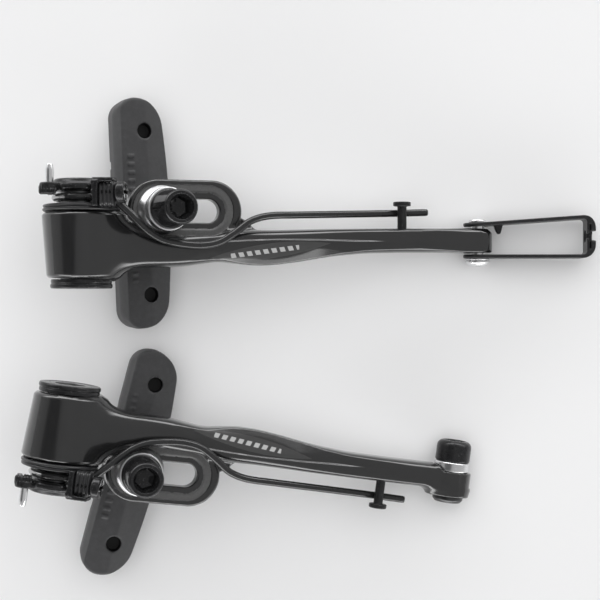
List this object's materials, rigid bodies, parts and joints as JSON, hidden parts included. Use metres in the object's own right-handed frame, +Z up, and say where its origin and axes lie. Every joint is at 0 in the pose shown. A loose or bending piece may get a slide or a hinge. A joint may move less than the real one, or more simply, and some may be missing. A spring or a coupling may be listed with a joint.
{
  "type": "v-brake",
  "caption": "Pair of linear-pull bicycle brake arms with sliding rubber shoes, return springs, cable link and cable clamp",
  "frame": {"origin": "centre of the bounding box in X and Y, on the table in Z", "axes": "+X along the first arm toward the cable link, +Z up from the table, outer faces up"},
  "size_m": [0.1599, 0.1354, 0.0416],
  "materials": {
    "arm_paint": "gloss black paint over forged aluminium",
    "black_steel": "black coated steel",
    "black_nut": "black oxide steel, satin",
    "spring_wire": "black coated spring wire",
    "plated_steel": "zinc plated steel",
    "sleeve_steel": "turned steel",
    "washer_steel": "plated washer",
    "insert_steel": "dark steel",
    "black_plastic": "black moulded plastic",
    "shoe_rubber": "moulded brake rubber, dull dark grey"
  },
  "bodies": {
    "arms": {"arm_a": "arm_paint", "arm_b": "arm_paint", "hook_pin_a": "black_steel", "hook_pin_b": "black_steel", "return_spring_a": "spring_wire", "return_spring_b": "spring_wire", "clamp_bolt": "black_nut", "clamp_washer": "washer_steel", "clamp_insert": "insert_steel"},
    "pivot_set_a": {"pivot_sleeve_a": "sleeve_steel", "front_ring_a": "black_steel", "seal_ring_a": "black_plastic", "spring_holder_a": "black_steel", "stopper_pin_a": "plated_steel", "tension_block_a": "black_plastic"},
    "screw_a": {"tension_screw_a": "black_nut"},
    "shoe_carrier_a": {"dome_outer_a": "washer_steel", "dome_inner_a": "washer_steel"},
    "shoe_a": {"brake_shoe_a": "shoe_rubber", "shoe_stud_a": "plated_steel", "cup_outer_a": "washer_steel", "cup_inner_a": "washer_steel", "shoe_nut_a": "black_nut"},
    "pivot_set_b": {"pivot_sleeve_b": "sleeve_steel", "front_ring_b": "black_steel", "seal_ring_b": "black_plastic", "spring_holder_b": "black_steel", "stopper_pin_b": "plated_steel", "tension_block_b": "black_plastic"},
    "screw_b": {"tension_screw_b": "black_nut"},
    "shoe_carrier_b": {"dome_outer_b": "washer_steel", "dome_inner_b": "washer_steel"},
    "shoe_b": {"brake_shoe_b": "shoe_rubber", "shoe_stud_b": "plated_steel", "cup_outer_b": "washer_steel", "cup_inner_b": "washer_steel", "shoe_nut_b": "black_nut"},
    "link": {"cable_link": "black_steel", "link_pin": "plated_steel"}
  },
  "joints": [
    {"name": "pivot_a", "type": "hinge", "parent": "arms", "child": "pivot_set_a", "pos_m": [-0.0628, 0.0256, 0.02823], "axis": [0, -1, 0], "range_deg": [0, 50], "stiffness_Nm_per_rad": 0.35, "deforming": ["return_spring_a"]},
    {"name": "tension_screw_a", "type": "hinge", "parent": "pivot_set_a", "child": "screw_a", "pos_m": [-0.05731, 0.0388, 0.03747], "axis": [0.991, 0, 0.134], "continuous": true},
    {"name": "shoe_slide_a", "type": "slide", "parent": "arms", "child": "shoe_carrier_a", "axis": [0.9548, 0, -0.2974], "range_m": [0, 0.0125]},
    {"name": "shoe_turn_a", "type": "hinge", "parent": "shoe_carrier_a", "child": "shoe_a", "pos_m": [-0.0423, 0.035, 0.02274], "axis": [0.4147, 0, 0.91], "range_deg": [-12, 12]},
    {"name": "pivot_b", "type": "hinge", "parent": "arms", "child": "pivot_set_b", "pos_m": [-0.0673, -0.0238, 0.02845], "axis": [-0.1323, -0.9912, 0], "range_deg": [0, 50], "stiffness_Nm_per_rad": 0.35, "deforming": ["return_spring_b"]},
    {"name": "tension_screw_b", "type": "hinge", "parent": "pivot_set_b", "child": "screw_b", "pos_m": [-0.0636, -0.03761, 0.03769], "axis": [0.9823, -0.1311, 0.134], "continuous": true},
    {"name": "shoe_slide_b", "type": "slide", "parent": "arms", "child": "shoe_carrier_b", "axis": [0.9464, -0.1263, -0.2974], "range_m": [0, 0.0125]},
    {"name": "shoe_turn_b", "type": "hinge", "parent": "shoe_carrier_b", "child": "shoe_b", "pos_m": [-0.04822, -0.03583, 0.02296], "axis": [0.2364, -0.0315, 0.9711], "range_deg": [-12, 12]},
    {"name": "link_swing", "type": "hinge", "parent": "arms", "child": "link", "pos_m": [0.04663, 0.0256, 0.00437], "axis": [0, -1, 0], "range_deg": [-95, 95]}
  ]
}
